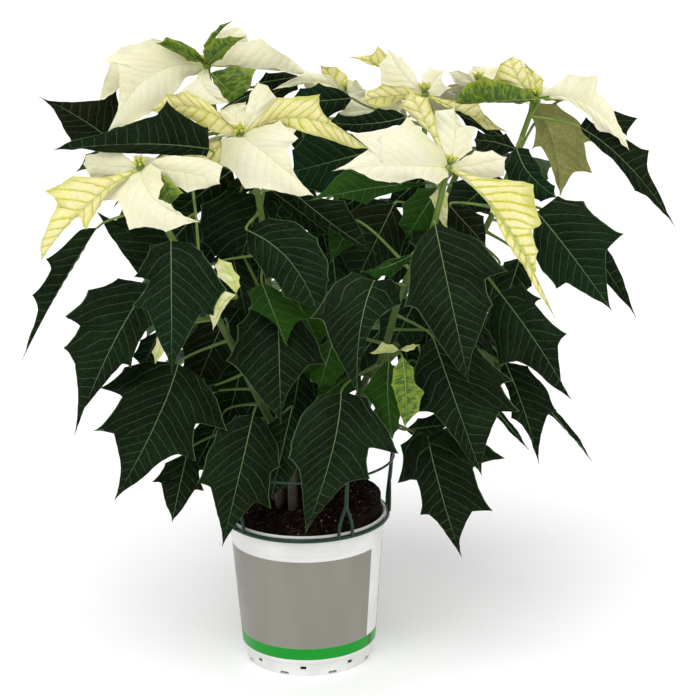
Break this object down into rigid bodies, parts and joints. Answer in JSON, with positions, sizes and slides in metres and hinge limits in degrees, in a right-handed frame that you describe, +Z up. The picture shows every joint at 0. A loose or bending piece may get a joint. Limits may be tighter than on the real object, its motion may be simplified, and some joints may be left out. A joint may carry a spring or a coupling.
{
  "type": "potted poinsettia",
  "caption": "Bushy potted poinsettia with large cream bracts over dark toothed leaves, in a tapered round pot with a clip-on green ring support.",
  "frame": {"origin": "middle of the pot's underside, on the surface it stands on", "axes": "+Z up along the pot's axis, -Y towards the picture's viewer, +X to the viewer's right"},
  "size_m": [0.6281, 0.4726, 0.6435],
  "materials": {
    "pot_plastic": "smooth off-white injection-moulded plastic with a plain printed grey panel and green band",
    "peat": "moist dark brown peat with pale flecks",
    "green_plastic": "satin dark green plastic",
    "leaf": "soft satin leaf, dark green above with paler veins, grey green below",
    "bract": "soft matt cream bract with fine yellow green veins",
    "bud": "smooth yellow green flower bud"
  },
  "bodies": {
    "root": {"pot": "pot_plastic", "soil": "peat", "support": "green_plastic", "leafy_stem_1": "leaf", "leafy_stem_2": "leaf", "leafy_stem_3": "leaf", "leafy_stem_4": "leaf", "leafy_stem_5": "leaf", "leafy_stem_6": "leaf", "leafy_stem_7": "leaf", "leafy_stem_8": "leaf", "leafy_stem_9": "leaf", "leafy_stem_10": "leaf", "bloom_1": "bract", "bloom_2": "bract", "bloom_3": "bract", "bloom_4": "bract", "bloom_5": "bract", "bloom_6": "bract", "bloom_7": "bract", "bloom_8": "bract", "bloom_9": "bract", "buds_1": "bud", "buds_2": "bud", "buds_3": "bud", "buds_4": "bud", "buds_5": "bud", "buds_6": "bud", "buds_7": "bud", "buds_8": "bud", "buds_9": "bud"}
  },
  "joints": []
}
